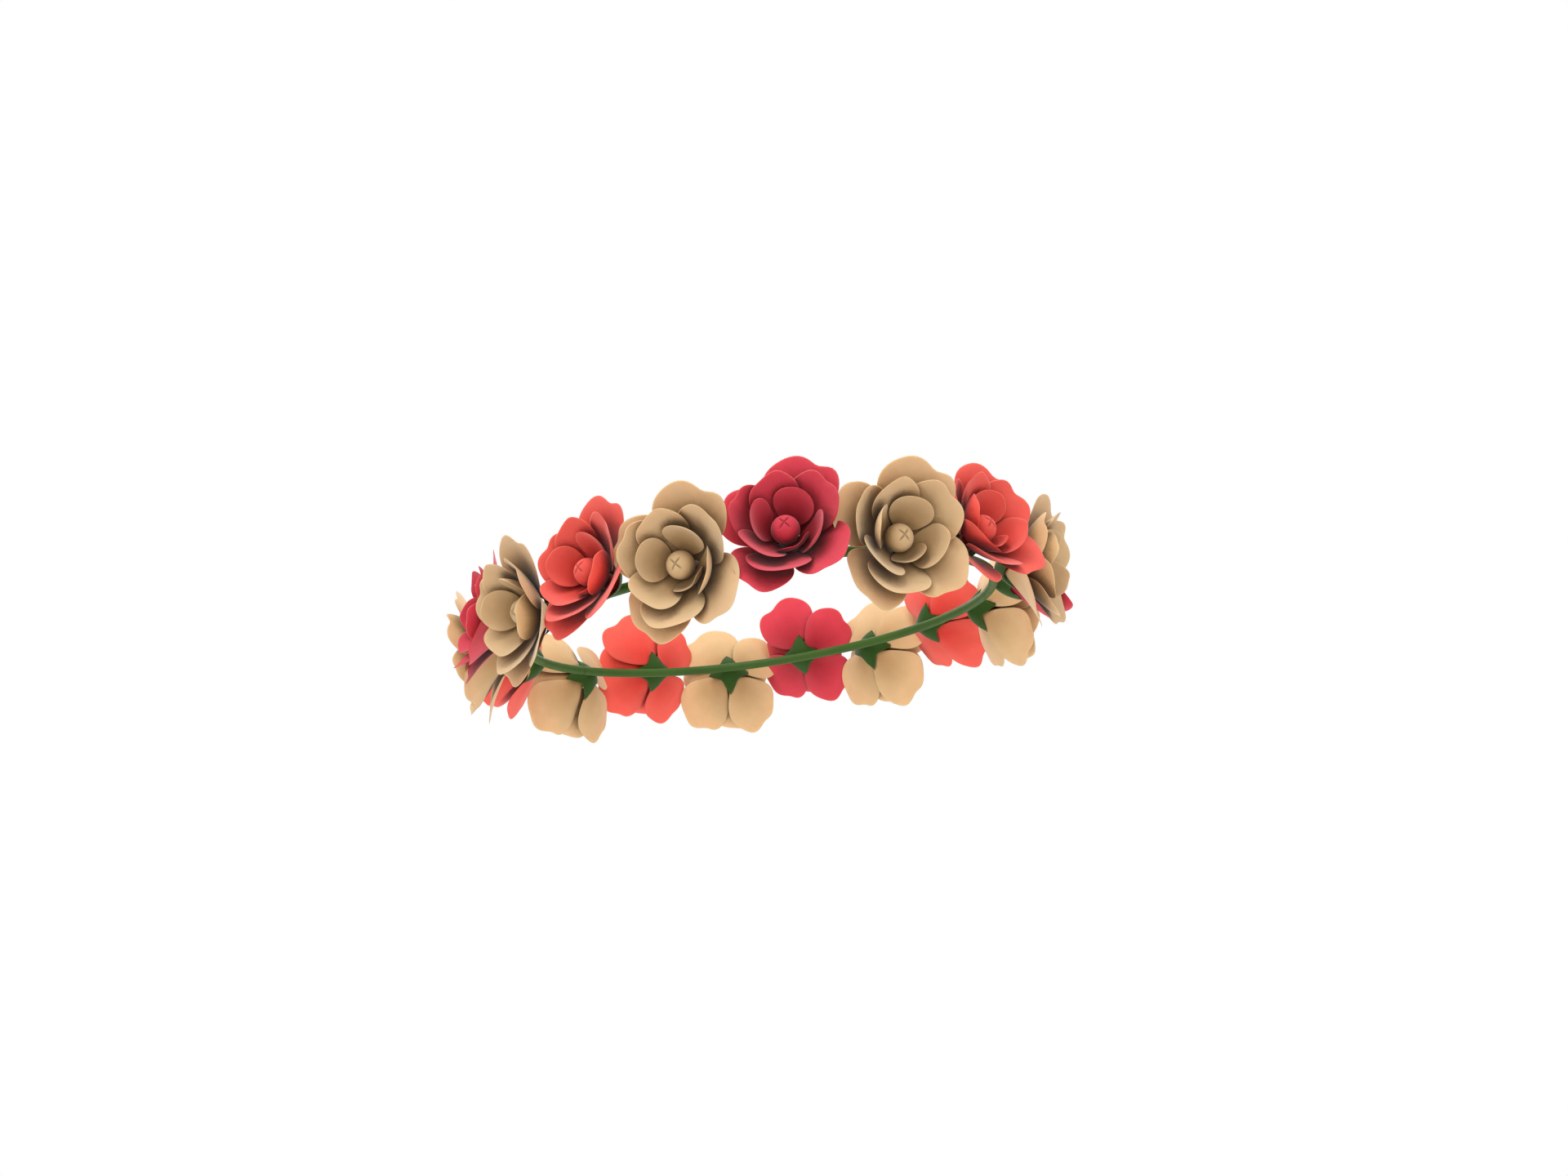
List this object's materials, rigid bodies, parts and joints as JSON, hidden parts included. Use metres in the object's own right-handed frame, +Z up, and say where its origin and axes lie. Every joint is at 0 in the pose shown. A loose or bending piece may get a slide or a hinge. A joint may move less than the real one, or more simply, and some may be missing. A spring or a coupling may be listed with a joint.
{
  "type": "flower crown",
  "caption": "Oval head ring of green-sleeved wire carrying foam flowers in beige, coral and crimson that face outwards all the way round, worn on the head.",
  "frame": {"origin": "centre of the oval ring, on the plane of the tube's centre line, where the head goes through", "axes": "+Z up through the head opening, Y along the oval's long axis with the front of the head towards -Y, X across the head"},
  "size_m": [0.2219, 0.2506, 0.058],
  "materials": {
    "ring_sleeve_green": "satin",
    "spring_steel_wire": "satin",
    "splice_steel": "satin",
    "pin_steel": "satin",
    "foam_beige": "matte",
    "foam_coral": "matte",
    "foam_crimson": "matte",
    "foam_green": "matte"
  },
  "bodies": {
    "root": {"ring_tube": "ring_sleeve_green", "core_wire": "spring_steel_wire", "splice_sleeve": "splice_steel", "flower_pins": "pin_steel", "flower_01_petals": "foam_beige", "flower_01_bud": "foam_beige", "flower_01_calyx": "foam_green", "flower_02_petals": "foam_crimson", "flower_02_bud": "foam_crimson", "flower_02_calyx": "foam_green", "flower_03_petals": "foam_beige", "flower_03_bud": "foam_beige", "flower_03_calyx": "foam_green", "flower_04_petals": "foam_coral", "flower_04_bud": "foam_coral", "flower_04_calyx": "foam_green", "flower_05_petals": "foam_beige", "flower_05_bud": "foam_beige", "flower_05_calyx": "foam_green", "flower_06_petals": "foam_crimson", "flower_06_bud": "foam_crimson", "flower_06_calyx": "foam_green", "flower_07_petals": "foam_beige", "flower_07_bud": "foam_beige", "flower_07_calyx": "foam_green", "flower_08_petals": "foam_coral", "flower_08_bud": "foam_coral", "flower_08_calyx": "foam_green", "flower_09_petals": "foam_beige", "flower_09_bud": "foam_beige", "flower_09_calyx": "foam_green", "flower_10_petals": "foam_coral", "flower_10_bud": "foam_coral", "flower_10_calyx": "foam_green", "flower_11_petals": "foam_beige", "flower_11_bud": "foam_beige", "flower_11_calyx": "foam_green", "flower_12_petals": "foam_crimson", "flower_12_bud": "foam_crimson", "flower_12_calyx": "foam_green", "flower_13_petals": "foam_beige", "flower_13_bud": "foam_beige", "flower_13_calyx": "foam_green", "flower_14_petals": "foam_coral", "flower_14_bud": "foam_coral", "flower_14_calyx": "foam_green", "flower_15_petals": "foam_beige", "flower_15_bud": "foam_beige", "flower_15_calyx": "foam_green", "flower_16_petals": "foam_crimson", "flower_16_bud": "foam_crimson", "flower_16_calyx": "foam_green", "flower_17_petals": "foam_beige", "flower_17_bud": "foam_beige", "flower_17_calyx": "foam_green", "flower_18_petals": "foam_coral", "flower_18_bud": "foam_coral", "flower_18_calyx": "foam_green"}
  },
  "joints": []
}
